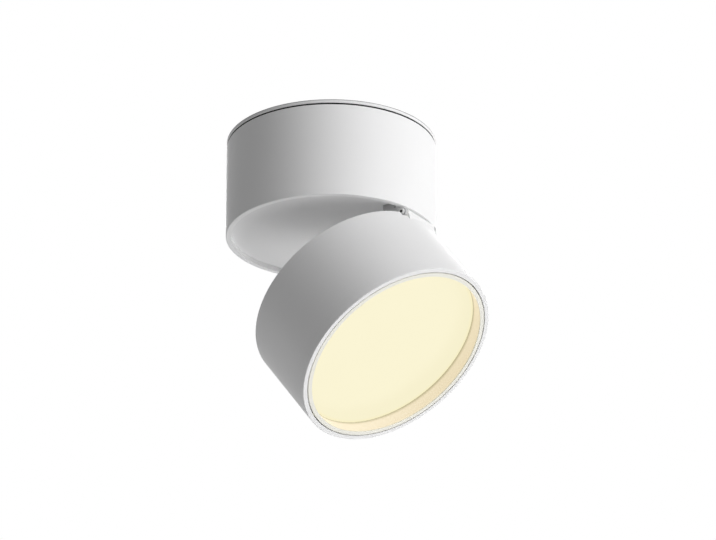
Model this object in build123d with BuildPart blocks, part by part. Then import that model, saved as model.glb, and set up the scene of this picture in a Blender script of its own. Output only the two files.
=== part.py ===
from build123d import *
import os
from math import cos, pi, radians, sin

# Surface mounted ceiling spotlight. A round drum hangs under the ceiling, and a head of the same
# diameter is hinged to its lower edge. Millimetres, Z up. z = 0 is the ceiling, the origin lies on
# the axis of the drum, and the hinge is on the +X side with its axis along Y.

# painted bodies
body_radius = 50.0
drum_height = 46.4
drum_wall = 2.5
floor_recess = 2.3
floor_sheet = 2.5
head_length = 45.2
head_wall = 2.2
head_back = 3.6
edge_round = 0.4
folded_gap = 3.3
head_tilt = 37.0

# ceiling plate
plate_edge = 1.8
shadow_gap = 0.6
plate_flange = 8.0
dish_depth = 3.0
plate_sheet = 1.2
slot_spacing = 60.0
slot_length = 9.0
slot_width = 4.6
latch_length = 16.0
latch_width = 6.0
latch_sheet = 0.5
rivet_radius = 1.5
rivet_inset = 4.0

# swivel
hub_radius = 14.0
hub_bore = 9.0
lug_reach = 4.0
lug_height = 1.6
lug_width = 9.0
lug_count = 3
bearing_width = 8.0
bearing_height = 3.2
turntable_sheet = 1.5
turntable_gap = 0.5
washer_sheet = 0.6
washer_width = 6.0
disc_spring_rise = 0.9
disc_spring_sheet = 0.4
nut_width = 6.0
nut_height = 4.0
nut_slot = 3.0
nut_slot_count = 4
swivel_limit = 175.0
stop_inset = 6.5
stop_pin_radius = 1.0
stop_tab_depth = 2.4
stop_tab_length = 3.2
cable_hole = 4.0
grommet_length = 6.0
grommet_flange = 1.0

# screws
screw_radius = 1.5
screw_head_radius = 2.75
screw_head_height = 1.8
turntable_boss_radius = 4.6
turntable_boss_length = 14.0
turntable_screw_length = 8.0
turntable_screw_inset = 6.5
turntable_screw_count = 4

# hinge
pin_inset = 1.5
pin_drop = 3.5
pin_radius = 1.3
pin_length = 6.0
pin_head_radius = 1.65
pin_head_height = 0.9
pin_socket = 0.7
knuckle_radius = 2.45
knuckle_length = 21.8
knuckle_root = 6.0
ear_radius = 2.2
ear_sheet = 1.5
ear_leg = 6.0
ear_leg_inset = 6.0
friction_washer = 0.4
bracket_length = 15.0
bracket_width = 31.0
bracket_sheet = 1.5
bracket_pad = 3.0
bracket_pad_radius = 3.0
bracket_screw_x = 9.0
bracket_screw_y = 15.6
bracket_window = 10.0

# driver and terminals
driver_y = -8.0
driver_width = 36.0
driver_wall_gap = 9.0
driver_end_gap = 2.5
driver_height = 17.0
driver_wall = 1.6
driver_lid = 1.8
driver_pad = 2.5
driver_lug = 6.5
driver_lug_width = 12.0
driver_lug_height = 3.0
board_pad = 2.5
driver_board_sheet = 1.6
transformer_length = 13.0
transformer_width = 14.4
capacitor_radius = 4.5
capacitor_inset = 9.8
choke_radius = 4.0
choke_inset = 13.0
filter_length = 5.8
filter_width = 6.0
part_row = 7.2
block_gap = 8.0
block_length = 34.0
block_width = 14.0
block_height = 13.0
pole_pitch = 11.0
pole_count = 3
wire_radius = 1.1
earth_offset = 9.0

# lead to the head
lead_radius = 1.7
lead_inset = 12.5
lead_bend = 4.0
lead_grommet_wall = 1.3
lead_grommet_flange = 0.8

# light source
fin_height = 8.8
fin_sheet = 1.6
fin_count = 24
fin_inner_radius = 14.0
sink_base = 3.0
sink_gap = 3.0
sink_boss_radius = 4.0
sink_screw_circle = 30.0
sink_screw_count = 4
led_board_sheet = 1.6
led_board_margin = 3.0
led_board_screw_circle = 26.5
led_board_screw_count = 3
led_board_screw_start = 60.0
led_length = 3.5
led_width = 2.8
led_height = 0.8
led_ring_pitch = 11.0
led_rings = 3
led_pitch = 10.5
connector_length = 5.5
connector_width = 7.0
connector_height = 5.0

# lens
lens_depth = 8.0
lens_sheet = 2.0
gasket_sheet = 0.8
gasket_width = 2.2
reflector_sheet = 1.2
reflector_margin = 1.6
trim_gap = 0.45
trim_wall = 1.35
trim_lip = 0.7
trim_lip_height = 1.0
rib_width = 6.0
rib_height = 3.0
rib_count = 3

# clearances
running = 0.05
play = 0.3
lip_clearance = 0.4

# levels of the fixed plate and of the swivel, downwards from the ceiling
web_top = -dish_depth
web_bottom = web_top - plate_sheet
drum_top = -plate_edge - shadow_gap
drum_rim = drum_top - drum_height
floor_bottom = drum_rim + floor_recess
floor_top = floor_bottom + floor_sheet
turntable_top = web_bottom - bearing_height - running
turntable_bottom = turntable_top - turntable_sheet
washer_bottom = turntable_bottom - running - washer_sheet
nut_top = washer_bottom - disc_spring_rise
nut_bottom = nut_top - nut_height
dish_radius = body_radius - plate_flange
drum_bore = body_radius - drum_wall
turntable_radius = drum_bore - turntable_gap
turntable_screw_circle = body_radius - turntable_screw_inset
stop_radius = turntable_screw_circle - stop_inset
lug_pitch = 360 / lug_count

# the head's own frame: origin on its axis at its back, x towards the hinge, z towards the drum
pin_x = body_radius - pin_inset
pin_z = drum_rim - pin_drop
pin_level = folded_gap - pin_drop
tilt = radians(head_tilt)
out_x, out_z = cos(tilt), sin(tilt)
head_plane = Plane(
    origin=(pin_x - pin_x * out_x + pin_level * out_z, 0, pin_z - pin_x * out_z - pin_level * out_x),
    x_dir=(out_x, 0, out_z),
    z_dir=(-out_z, 0, out_x),
)
head_section = Plane(origin=head_plane.origin, x_dir=head_plane.x_dir, z_dir=(0, -1, 0))
head_axis = Axis(head_plane.origin, head_plane.z_dir)
head_bore = body_radius - head_wall
sink_radius = head_bore - sink_gap
fin_bottom = -head_back - fin_height
sink_bottom = fin_bottom - sink_base
led_board_bottom = sink_bottom - led_board_sheet
led_board_radius = sink_radius - led_board_margin
trim_radius = head_bore - trim_gap
lens_radius = trim_radius - trim_wall
lens_front = -head_length + lens_depth
lens_back = lens_front + lens_sheet
gasket_back = lens_back + gasket_sheet

# positions shared by the hinge bracket, the drum floor and the head
ear_inner = knuckle_length / 2 + friction_washer + running
ear_outer = ear_inner + ear_sheet
pin_head_inner = ear_outer + running
eye_pocket_outer = pin_head_inner + pin_head_height + play
lead_x = pin_x - lead_inset
lead_hole = lead_radius + running + lead_grommet_wall
ear_leg_x = body_radius - ear_leg_inset
bracket_x = ear_leg_x - bracket_length / 2
bracket_inner = bracket_x - bracket_length / 2
bracket_bottom = floor_top + bracket_pad
bracket_top = bracket_bottom + bracket_sheet
driver_left = driver_wall_gap - drum_bore
driver_right = bracket_inner - driver_end_gap
driver_x = (driver_left + driver_right) / 2
driver_length = driver_right - driver_left - 2 * driver_lug
driver_bottom = floor_top + driver_pad
driver_top = driver_bottom + driver_height
lug_centre = driver_length / 2 + driver_lug / 2
block_y = driver_y + driver_width / 2 + block_gap + block_width / 2
block_top = driver_bottom + block_height
wire_z = driver_bottom + block_height / 2
earth_x = driver_x + pole_pitch + earth_offset
earth_y = block_y - block_width / 2 - block_gap / 2
lead_start_z = driver_bottom + driver_height / 2
stop_tab_width = 2 * (stop_radius * sin(radians(180 - swivel_limit)) - stop_pin_radius - running)


def write(part, name):
    part.label = name
    export_step(part, f"parts/{name}.step")


def machine_screws(plane, places, length):
    # pan head screws: heads stand on the plane, shanks go down from it
    with BuildPart() as screws:
        for x, y in places:
            with BuildSketch(plane.offset(-length)):
                with Locations((x, y)):
                    Circle(screw_radius - running)
            extrude(amount=length)
            with BuildSketch(plane):
                with Locations((x, y)):
                    Circle(screw_head_radius)
            extrude(amount=screw_head_height)
    return screws


def ring_places(radius, count, start=0.0):
    return [
        (radius * cos(radians(start + 360 * i / count)), radius * sin(radians(start + 360 * i / count)))
        for i in range(count)
    ]


def grid_places(x, y, x_spacing, y_spacing):
    return [(x + i * x_spacing / 2, y + j * y_spacing / 2) for i in (-1, 1) for j in (-1, 1)]


os.makedirs("parts", exist_ok=True)

turntable_places = ring_places(turntable_screw_circle, turntable_screw_count)
bracket_places = grid_places(bracket_x, 0, bracket_screw_x, bracket_screw_y)
driver_places = [(driver_x - lug_centre, driver_y), (driver_x + lug_centre, driver_y)]
block_places = [(driver_x - pole_pitch / 2, block_y), (driver_x + pole_pitch / 2, block_y)]
sink_places = ring_places(sink_screw_circle, sink_screw_count, 180 / sink_screw_count)
led_board_places = ring_places(led_board_screw_circle, led_board_screw_count, led_board_screw_start)


# ---------------------------------------------------------------- ceiling side

# pressed plate: a flat flange against the ceiling, a dished web with a bayonet opening, two screw
# slots and a stop tab under the web
with BuildPart() as ceiling_plate:
    with BuildSketch(Plane.XY.offset(-plate_edge)):
        Circle(body_radius)
    extrude(amount=plate_edge)
    fillet(ceiling_plate.edges().sort_by(Axis.Z)[0], edge_round)
    with BuildSketch(Plane.XY.offset(web_bottom)):
        Circle(dish_radius)
    extrude(amount=-web_bottom)
    with BuildSketch(Plane.XY.offset(web_top)):
        Circle(dish_radius - plate_sheet)
    extrude(amount=dish_depth, mode=Mode.SUBTRACT)
    with BuildSketch(Plane.XY.offset(web_bottom)):
        Circle(hub_radius + play)
        with PolarLocations(hub_radius, lug_count):
            Rectangle(2 * (lug_reach + play), lug_width + 2 * play)
        with GridLocations(slot_spacing, 0, 2, 1):
            SlotOverall(slot_length, slot_width)
    extrude(amount=plate_sheet, mode=Mode.SUBTRACT)
    with BuildSketch(Plane.XY.offset(web_bottom)):
        with Locations((0, -stop_radius)):
            Rectangle(stop_tab_width, stop_tab_length)
    extrude(amount=-stop_tab_depth)
write(ceiling_plate.part, "ceiling_plate")

# leaf that drops in behind a bayonet lug, with its rivet
latch_inner = hub_radius + play
with BuildPart() as latch_spring:
    with BuildSketch(Plane.XY.offset(web_top)):
        with Locations((0, latch_inner + latch_length / 2)):
            Rectangle(latch_width, latch_length)
        with Locations((0, latch_inner + latch_length - rivet_inset)):
            Circle(rivet_radius, mode=Mode.SUBTRACT)
    extrude(amount=latch_sheet)
write(latch_spring.part, "latch_spring")

with BuildPart() as latch_rivet:
    with BuildSketch(Plane.XY.offset(web_top)):
        with Locations((0, latch_inner + latch_length - rivet_inset)):
            Circle(rivet_radius - running)
    extrude(amount=latch_sheet)
    with BuildSketch(Plane.XY.offset(web_top + latch_sheet)):
        with Locations((0, latch_inner + latch_length - rivet_inset)):
            Circle(2 * rivet_radius)
    extrude(amount=latch_sheet)
write(latch_rivet.part, "latch_rivet")

# hollow hub: the lugs lie on the web, turned half a pitch from the notches they came through
with BuildPart() as swivel_hub:
    with BuildSketch(Plane.XY.offset(nut_bottom)):
        Circle(hub_radius)
    extrude(amount=web_top + lug_height - nut_bottom)
    with BuildSketch(Plane.XY.offset(web_top)):
        with PolarLocations(hub_radius, lug_count, start_angle=lug_pitch / 2):
            Rectangle(2 * lug_reach, lug_width)
    extrude(amount=lug_height)
    with BuildSketch(Plane.XY.offset(nut_bottom)):
        Circle(hub_bore)
    extrude(amount=web_top + lug_height - nut_bottom, mode=Mode.SUBTRACT)
write(swivel_hub.part, "swivel_hub")

# soft bush that fills the lower end of the hub and closes round the supply cable
with BuildPart() as cable_grommet:
    with BuildSketch(Plane.XY.offset(nut_bottom)):
        Circle(hub_bore - running)
    extrude(amount=grommet_length)
    with BuildSketch(Plane.XY.offset(nut_bottom - grommet_flange)):
        Circle(hub_bore + 2 * grommet_flange)
    extrude(amount=grommet_flange)
    with BuildSketch(Plane.XY.offset(nut_bottom - grommet_flange)):
        Circle(cable_hole)
    extrude(amount=grommet_length + grommet_flange, mode=Mode.SUBTRACT)
write(cable_grommet.part, "cable_grommet")

with BuildPart() as bearing_ring:
    with BuildSketch(Plane.XY.offset(web_bottom - bearing_height)):
        Circle(hub_radius + bearing_width)
        Circle(hub_radius + running, mode=Mode.SUBTRACT)
    extrude(amount=bearing_height)
write(bearing_ring.part, "bearing_ring")

with BuildPart() as thrust_washer:
    with BuildSketch(Plane.XY.offset(washer_bottom)):
        Circle(hub_radius + washer_width)
        Circle(hub_radius + running, mode=Mode.SUBTRACT)
    extrude(amount=washer_sheet)
write(thrust_washer.part, "thrust_washer")

# coned washer that keeps a light drag on the swivel
with BuildPart() as disc_spring:
    with BuildSketch(Plane.XZ):
        with BuildLine():
            Polyline(
                (hub_radius + running, nut_top + disc_spring_rise),
                (hub_radius + washer_width, nut_top + disc_spring_sheet),
                (hub_radius + washer_width, nut_top),
                (hub_radius + running, nut_top + disc_spring_rise - disc_spring_sheet),
                close=True,
            )
        make_face()
    revolve(axis=Axis.Z)
write(disc_spring.part, "disc_spring")

# ring nut with four spanner slots
with BuildPart() as hub_nut:
    with BuildSketch(Plane.XY.offset(nut_bottom)):
        Circle(hub_radius + nut_width)
        Circle(hub_radius + running, mode=Mode.SUBTRACT)
        with PolarLocations(hub_radius + nut_width, nut_slot_count):
            Rectangle(nut_slot, nut_slot, mode=Mode.SUBTRACT)
    extrude(amount=nut_height)
write(hub_nut.part, "hub_nut")


# ---------------------------------------------------------------- drum

# steel lid of the drum, carried on four bosses, with the bore that turns on the hub
with BuildPart() as turntable_plate:
    with BuildSketch(Plane.XY.offset(turntable_bottom)):
        Circle(turntable_radius)
        Circle(hub_radius + running, mode=Mode.SUBTRACT)
        with Locations(*turntable_places):
            Circle(screw_radius, mode=Mode.SUBTRACT)
        with Locations((0, stop_radius)):
            Circle(stop_pin_radius, mode=Mode.SUBTRACT)
    extrude(amount=turntable_sheet)
write(turntable_plate.part, "turntable_plate")

with BuildPart() as stop_pin:
    with BuildSketch(Plane.XY.offset(turntable_bottom)):
        with Locations((0, stop_radius)):
            Circle(stop_pin_radius - running)
    extrude(amount=web_bottom - play - turntable_bottom)
write(stop_pin.part, "stop_pin")

turntable_screws = machine_screws(
    Plane.XY.offset(turntable_top), turntable_places, turntable_screw_length
)
write(turntable_screws.part, "turntable_screws")

# painted pot, open at the top. Its floor is set back from the rim, so the rim shows as a lip
with BuildPart() as drum_housing:
    with BuildSketch(Plane.XY.offset(drum_rim)):
        Circle(body_radius)
    extrude(amount=drum_height)
    fillet(drum_housing.edges(), edge_round)
    with BuildSketch(Plane.XY.offset(floor_top)):
        Circle(drum_bore)
    extrude(amount=drum_top - floor_top, mode=Mode.SUBTRACT)
    with BuildSketch(Plane.XY.offset(drum_rim)):
        Circle(drum_bore)
    extrude(amount=floor_recess, mode=Mode.SUBTRACT)
    # bosses under the turntable, grown out of the wall
    with BuildSketch(Plane.XY.offset(turntable_bottom - turntable_boss_length)):
        with Locations(*turntable_places):
            Circle(turntable_boss_radius)
        Circle(body_radius - drum_wall / 2, mode=Mode.INTERSECT)
    extrude(amount=turntable_boss_length)
    with BuildSketch(Plane.XY.offset(turntable_bottom)):
        with Locations(*turntable_places):
            Circle(screw_radius)
    extrude(amount=-turntable_screw_length - play, mode=Mode.SUBTRACT)
    # pads under the hinge bracket, the driver, the terminal block and the earth screw
    with BuildSketch(Plane.XY.offset(floor_top)):
        with Locations(*bracket_places):
            Circle(bracket_pad_radius)
    extrude(amount=bracket_pad)
    with BuildSketch(Plane.XY.offset(floor_top)):
        with Locations(*driver_places, *block_places, (earth_x, earth_y)):
            Circle(bracket_pad_radius)
    extrude(amount=driver_pad)
    with BuildSketch(Plane.XY.offset(bracket_bottom)):
        with Locations(*bracket_places):
            Circle(screw_radius)
    extrude(amount=-bracket_pad, mode=Mode.SUBTRACT)
    with BuildSketch(Plane.XY.offset(driver_bottom)):
        with Locations(*driver_places, *block_places, (earth_x, earth_y)):
            Circle(screw_radius)
    extrude(amount=-driver_pad, mode=Mode.SUBTRACT)
    # openings in the floor for the two ears and for the lead
    with BuildSketch(Plane.XY.offset(floor_bottom)):
        with Locations((lead_x, 0)):
            Circle(lead_hole)
        with GridLocations(0, ear_inner + ear_outer, 1, 2):
            with Locations((ear_leg_x - ear_leg / 2, 0)):
                Rectangle(ear_leg + 2 * play, ear_sheet + 2 * play)
    extrude(amount=floor_sheet, mode=Mode.SUBTRACT)
write(drum_housing.part, "drum_housing")

# folded steel bracket: a foot on the pads, and two ears that reach down through the floor, hook
# under the lip and end in an eye on the hinge axis
with BuildPart() as hinge_bracket:
    with BuildSketch(Plane.XY.offset(bracket_bottom)):
        with Locations((bracket_x, 0)):
            Rectangle(bracket_length, bracket_width)
            Rectangle(bracket_length - 2 * bracket_sheet, bracket_window, mode=Mode.SUBTRACT)
        with Locations(*bracket_places):
            Circle(screw_radius + running, mode=Mode.SUBTRACT)
    extrude(amount=bracket_sheet)
    for side in (ear_inner, -ear_outer):
        with BuildSketch(Plane.XZ.offset(side)):
            with BuildLine():
                Polyline(
                    (ear_leg_x - ear_leg, bracket_top),
                    (ear_leg_x, bracket_top),
                    (ear_leg_x, drum_rim - lip_clearance),
                    (pin_x, pin_z + ear_radius),
                    (pin_x, pin_z),
                    (pin_x - ear_radius, pin_z - pin_level + play),
                    (ear_leg_x - ear_leg / 2, pin_z - pin_level + play),
                    (ear_leg_x - ear_leg, drum_rim),
                    close=True,
                )
            make_face()
            with Locations((pin_x, pin_z)):
                Circle(ear_radius)
                Circle(pin_radius + running, mode=Mode.SUBTRACT)
        extrude(amount=ear_sheet)
write(hinge_bracket.part, "hinge_bracket")

bracket_screws = machine_screws(
    Plane.XY.offset(bracket_top), bracket_places, bracket_sheet + bracket_pad - play
)
write(bracket_screws.part, "bracket_screws")

# driver: a moulded tray with two screw lugs, its circuit board and a lid
with BuildPart() as driver_case:
    with BuildSketch(Plane.XY.offset(driver_bottom)):
        with Locations((driver_x, driver_y)):
            RectangleRounded(driver_length, driver_width, 2 * driver_wall)
    extrude(amount=driver_height - driver_lid)
    with BuildSketch(Plane.XY.offset(driver_bottom + driver_wall)):
        with Locations((driver_x, driver_y)):
            RectangleRounded(
                driver_length - 2 * driver_wall, driver_width - 2 * driver_wall, driver_wall
            )
    extrude(amount=driver_height, mode=Mode.SUBTRACT)
    with BuildSketch(Plane.XY.offset(driver_bottom + driver_wall)):
        with Locations((driver_x, driver_y)):
            with GridLocations(driver_length / 2, driver_width / 2, 2, 2):
                Circle(board_pad)
    extrude(amount=board_pad)
    with BuildSketch(Plane.XY.offset(driver_bottom)):
        with Locations(*driver_places):
            Rectangle(driver_lug, driver_lug_width)
        with Locations(*driver_places):
            Circle(screw_radius + running, mode=Mode.SUBTRACT)
    extrude(amount=driver_lug_height)
    # holes for the two input leads and for the lead to the head
    with BuildSketch(Plane.XZ.offset(-driver_y - driver_width / 2)):
        with Locations(*[(driver_x - i * pole_pitch, wire_z) for i in (0, 1)]):
            Circle(wire_radius + running)
    extrude(amount=driver_wall, mode=Mode.SUBTRACT)
    with BuildSketch(Plane.YZ.offset(driver_x + driver_length / 2 - driver_wall)):
        with Locations((driver_y, lead_start_z)):
            Circle(lead_radius + running)
    extrude(amount=driver_wall, mode=Mode.SUBTRACT)
write(driver_case.part, "driver_case")

board_top = driver_bottom + driver_wall + board_pad + driver_board_sheet
with BuildPart() as driver_board:
    with BuildSketch(Plane.XY.offset(board_top - driver_board_sheet)):
        with Locations((driver_x, driver_y)):
            RectangleRounded(
                driver_length - 2 * (driver_wall + play),
                driver_width - 2 * (driver_wall + play),
                driver_wall,
            )
    extrude(amount=driver_board_sheet)
write(driver_board.part, "driver_board")

# transformer, capacitor, choke and filter, standing on the board
part_height = driver_bottom + driver_height - driver_lid - board_top - play
with BuildPart() as driver_parts:
    with BuildSketch(Plane.XY.offset(board_top)):
        with Locations((driver_x, driver_y)):
            Rectangle(transformer_length, transformer_width)
        with Locations((driver_x - driver_length / 2 + capacitor_inset, driver_y - part_row)):
            Circle(capacitor_radius)
        with Locations((driver_x + driver_length / 2 - choke_inset, driver_y + part_row)):
            Circle(choke_radius)
        with Locations((driver_x - driver_length / 2 + capacitor_inset, driver_y + part_row)):
            Rectangle(filter_length, filter_width)
    extrude(amount=part_height)
write(driver_parts.part, "driver_parts")

with BuildPart() as driver_cover:
    with BuildSketch(Plane.XY.offset(driver_top - driver_lid)):
        with Locations((driver_x, driver_y)):
            RectangleRounded(driver_length, driver_width, 2 * driver_wall)
    extrude(amount=driver_lid)
    fillet(driver_cover.edges().group_by(Axis.Z)[-1], driver_lid / 3)
write(driver_cover.part, "driver_cover")

driver_screws = machine_screws(
    Plane.XY.offset(driver_bottom + driver_lug_height),
    driver_places,
    driver_lug_height + driver_pad - play,
)
write(driver_screws.part, "driver_screws")

# terminal block: three poles, each with a wire hole right through and a screw well from above
with BuildPart() as terminal_block:
    with BuildSketch(Plane.XY.offset(driver_bottom)):
        with Locations((driver_x, block_y)):
            Rectangle(block_length, block_width)
    extrude(amount=block_height)
    with BuildSketch(Plane.XZ.offset(-block_y - block_width / 2)):
        with Locations((driver_x, wire_z)):
            with GridLocations(pole_pitch, 0, pole_count, 1):
                Circle(2 * wire_radius)
    extrude(amount=block_width, mode=Mode.SUBTRACT)
    with BuildSketch(Plane.XY.offset(wire_z)):
        with Locations((driver_x, block_y)):
            with GridLocations(pole_pitch, 0, pole_count, 1):
                Circle(screw_head_radius + running)
    extrude(amount=block_height, mode=Mode.SUBTRACT)
    with BuildSketch(Plane.XY.offset(driver_bottom)):
        with Locations(*block_places):
            Circle(screw_radius + running)
    extrude(amount=block_height, mode=Mode.SUBTRACT)
write(terminal_block.part, "terminal_block")

with BuildPart() as terminal_screws:
    with BuildSketch(Plane.XY.offset(wire_z + wire_radius)):
        with Locations((driver_x, block_y)):
            with GridLocations(pole_pitch, 0, pole_count, 1):
                Circle(screw_head_radius)
    extrude(amount=block_top - wire_z - 2 * wire_radius)
write(terminal_screws.part, "terminal_screws")

block_screws = machine_screws(
    Plane.XY.offset(block_top), block_places, block_height + driver_pad - play
)
write(block_screws.part, "block_screws")

# live and neutral: straight from the block into the driver
with BuildPart() as input_leads:
    with BuildSketch(Plane.XZ.offset(-block_y)):
        with Locations(*[(driver_x - i * pole_pitch, wire_z) for i in (0, 1)]):
            Circle(wire_radius)
    extrude(amount=block_y - driver_y - driver_width / 2 + driver_wall)
write(input_leads.part, "input_leads")

# earth: from the third pole, round the corner of the driver and down to a screw in the floor
earth_points = [
    (driver_x + pole_pitch, block_y, wire_z),
    (driver_x + pole_pitch, earth_y, wire_z),
    (earth_x, earth_y, wire_z),
    (earth_x, earth_y, driver_bottom + screw_head_height),
]
with BuildPart() as earth_lead:
    with BuildLine():
        earth_route = FilletPolyline(*earth_points, radius=2 * wire_radius)
    with BuildSketch(Plane(origin=earth_points[0], z_dir=(0, -1, 0))):
        Circle(wire_radius)
    sweep(path=earth_route)
write(earth_lead.part, "earth_lead")

earth_screw = machine_screws(
    Plane.XY.offset(driver_bottom), [(earth_x, earth_y)], driver_pad - play
)
write(earth_screw.part, "earth_screw")

# grommet that lines the lead's hole in the drum floor
with BuildPart() as floor_grommet:
    with BuildSketch(Plane.XY.offset(floor_bottom)):
        with Locations((lead_x, 0)):
            Circle(lead_hole - running)
    extrude(amount=floor_sheet)
    with BuildSketch(Plane.XY.offset(floor_top)):
        with Locations((lead_x, 0)):
            Circle(lead_hole + lead_grommet_wall)
    extrude(amount=lead_grommet_flange)
    with BuildSketch(Plane.XY.offset(floor_bottom)):
        with Locations((lead_x, 0)):
            Circle(lead_radius + running)
    extrude(amount=floor_sheet + lead_grommet_flange, mode=Mode.SUBTRACT)
write(floor_grommet.part, "floor_grommet")


# ---------------------------------------------------------------- head

# painted pot, open at the front, with the round hinge knuckle grown out of its back edge
with BuildPart() as head_housing:
    with BuildSketch(head_plane.offset(-head_length)):
        Circle(body_radius)
    extrude(amount=head_length)
    fillet(head_housing.edges(), edge_round)
    with BuildSketch(head_plane.offset(-head_length)):
        Circle(head_bore)
    extrude(amount=head_length - head_back, mode=Mode.SUBTRACT)
    with BuildSketch(head_section.offset(-knuckle_length / 2)):
        with Locations((pin_x, pin_level)):
            Circle(knuckle_radius)
        with BuildLine():
            Polyline(
                (pin_x - knuckle_radius, pin_level),
                (pin_x + knuckle_radius, pin_level),
                (pin_x, -knuckle_root),
                (pin_x - knuckle_radius, -knuckle_root),
                close=True,
            )
        make_face()
    extrude(amount=knuckle_length)
    # room for the eyes of the ears on both sides of the knuckle
    for side in (knuckle_length / 2, -eye_pocket_outer):
        with BuildSketch(head_section.offset(side)):
            with Locations((pin_x, pin_level)):
                Circle(ear_radius + play)
        extrude(amount=eye_pocket_outer - knuckle_length / 2, mode=Mode.SUBTRACT)
    for side in (knuckle_length / 2 - pin_length, -knuckle_length / 2):
        with BuildSketch(head_section.offset(side)):
            with Locations((pin_x, pin_level)):
                Circle(pin_radius)
        extrude(amount=pin_length, mode=Mode.SUBTRACT)
    # holes in the back for the lead and for the screws of the heat sink
    with BuildSketch(head_plane):
        with Locations((lead_x, 0)):
            Circle(lead_hole)
        with Locations(*sink_places):
            Circle(screw_radius + running)
    extrude(amount=-head_back, mode=Mode.SUBTRACT)
write(head_housing.part, "head_housing")

# socket head pivot screws: they turn in the eyes of the ears and are fast in the knuckle
with BuildPart() as hinge_screws:
    for side in (knuckle_length / 2 - pin_length + play, -pin_head_inner):
        with BuildSketch(head_section.offset(side)):
            with Locations((pin_x, pin_level)):
                Circle(pin_radius - running)
        extrude(amount=pin_head_inner - knuckle_length / 2 + pin_length - play)
    for side in (pin_head_inner, -pin_head_inner - pin_head_height):
        with BuildSketch(head_section.offset(side)):
            with Locations((pin_x, pin_level)):
                Circle(pin_head_radius)
        extrude(amount=pin_head_height)
    for side in (pin_head_inner + pin_head_height / 3, -pin_head_inner - pin_head_height):
        with BuildSketch(head_section.offset(side)):
            with Locations((pin_x, pin_level)):
                RegularPolygon(pin_socket, 6)
        extrude(amount=pin_head_height * 2 / 3, mode=Mode.SUBTRACT)
write(hinge_screws.part, "hinge_screws")

with BuildPart() as friction_washers:
    for side in (knuckle_length / 2, -knuckle_length / 2 - friction_washer):
        with BuildSketch(head_section.offset(side)):
            with Locations((pin_x, pin_level)):
                Circle(ear_radius)
                Circle(pin_radius, mode=Mode.SUBTRACT)
        extrude(amount=friction_washer)
write(friction_washers.part, "friction_washers")

# grommet that lines the lead's hole in the back of the head
with BuildPart() as head_grommet:
    with BuildSketch(head_plane.offset(-head_back)):
        with Locations((lead_x, 0)):
            Circle(lead_hole - running)
    extrude(amount=head_back)
    with BuildSketch(head_plane):
        with Locations((lead_x, 0)):
            Circle(lead_hole + lead_grommet_wall)
    extrude(amount=lead_grommet_flange)
    with BuildSketch(head_plane.offset(-head_back)):
        with Locations((lead_x, 0)):
            Circle(lead_radius + running)
    extrude(amount=head_back + lead_grommet_flange, mode=Mode.SUBTRACT)
write(head_grommet.part, "head_grommet")

# cast heat sink: radial fins from a round base, with bosses that meet the back of the head. The
# lead runs down between two fins and through the base
with BuildPart() as heat_sink:
    with BuildSketch(head_plane.offset(sink_bottom)):
        Circle(sink_radius)
    extrude(amount=sink_base)
    with BuildSketch(head_plane.offset(fin_bottom)):
        with PolarLocations((sink_radius + fin_inner_radius) / 2, fin_count, 180 / fin_count):
            Rectangle(sink_radius - fin_inner_radius, fin_sheet)
        with Locations(*sink_places):
            Circle(sink_boss_radius)
        Circle(sink_radius, mode=Mode.INTERSECT)
    extrude(amount=fin_height)
    with BuildSketch(head_plane.offset(-head_back)):
        with Locations(*sink_places):
            Circle(screw_radius)
    extrude(amount=-fin_height, mode=Mode.SUBTRACT)
    with BuildSketch(head_plane.offset(sink_bottom)):
        with Locations((lead_x, 0)):
            Circle(lead_radius + play)
        with Locations(*led_board_places):
            Circle(screw_radius)
    extrude(amount=sink_base, mode=Mode.SUBTRACT)
write(heat_sink.part, "heat_sink")

sink_screws = machine_screws(head_plane, sink_places, head_back + fin_height - play)
write(sink_screws.part, "sink_screws")

with BuildPart() as led_board:
    with BuildSketch(head_plane.offset(led_board_bottom)):
        Circle(led_board_radius)
        with Locations((lead_x, 0)):
            Circle(lead_radius + 2 * play, mode=Mode.SUBTRACT)
        with Locations(*led_board_places):
            Circle(screw_radius + running, mode=Mode.SUBTRACT)
    extrude(amount=led_board_sheet)
write(led_board.part, "led_board")

# LED packages on rings one pitch apart, each ring holding as many as fit at the same spacing
with BuildPart() as led_packages:
    for ring in range(1, led_rings + 1):
        ring_radius = ring * led_ring_pitch - led_length / 4
        ring_count = round(2 * pi * ring_radius / led_pitch)
        with BuildSketch(head_plane.offset(led_board_bottom)):
            with PolarLocations(ring_radius, ring_count, 180 / ring_count):
                Rectangle(led_width, led_length)
        extrude(amount=-led_height)
write(led_packages.part, "led_packages")

board_screw_plane = Plane(
    origin=head_plane.offset(led_board_bottom).origin,
    x_dir=head_plane.x_dir,
    z_dir=-head_plane.z_dir,
)
board_screws = machine_screws(
    board_screw_plane,
    [(x, -y) for x, y in led_board_places],
    led_board_sheet + sink_base - play,
)
write(board_screws.part, "board_screws")

# plug that takes the two cores of the lead, on the face of the board beside the lead's hole
connector_x = lead_x - lead_bend - lead_radius - connector_length / 2
with BuildPart() as lead_connector:
    with BuildSketch(head_plane.offset(led_board_bottom)):
        with Locations((connector_x, 0)):
            Rectangle(connector_length, connector_width)
    extrude(amount=-connector_height)
write(lead_connector.part, "lead_connector")

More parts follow.
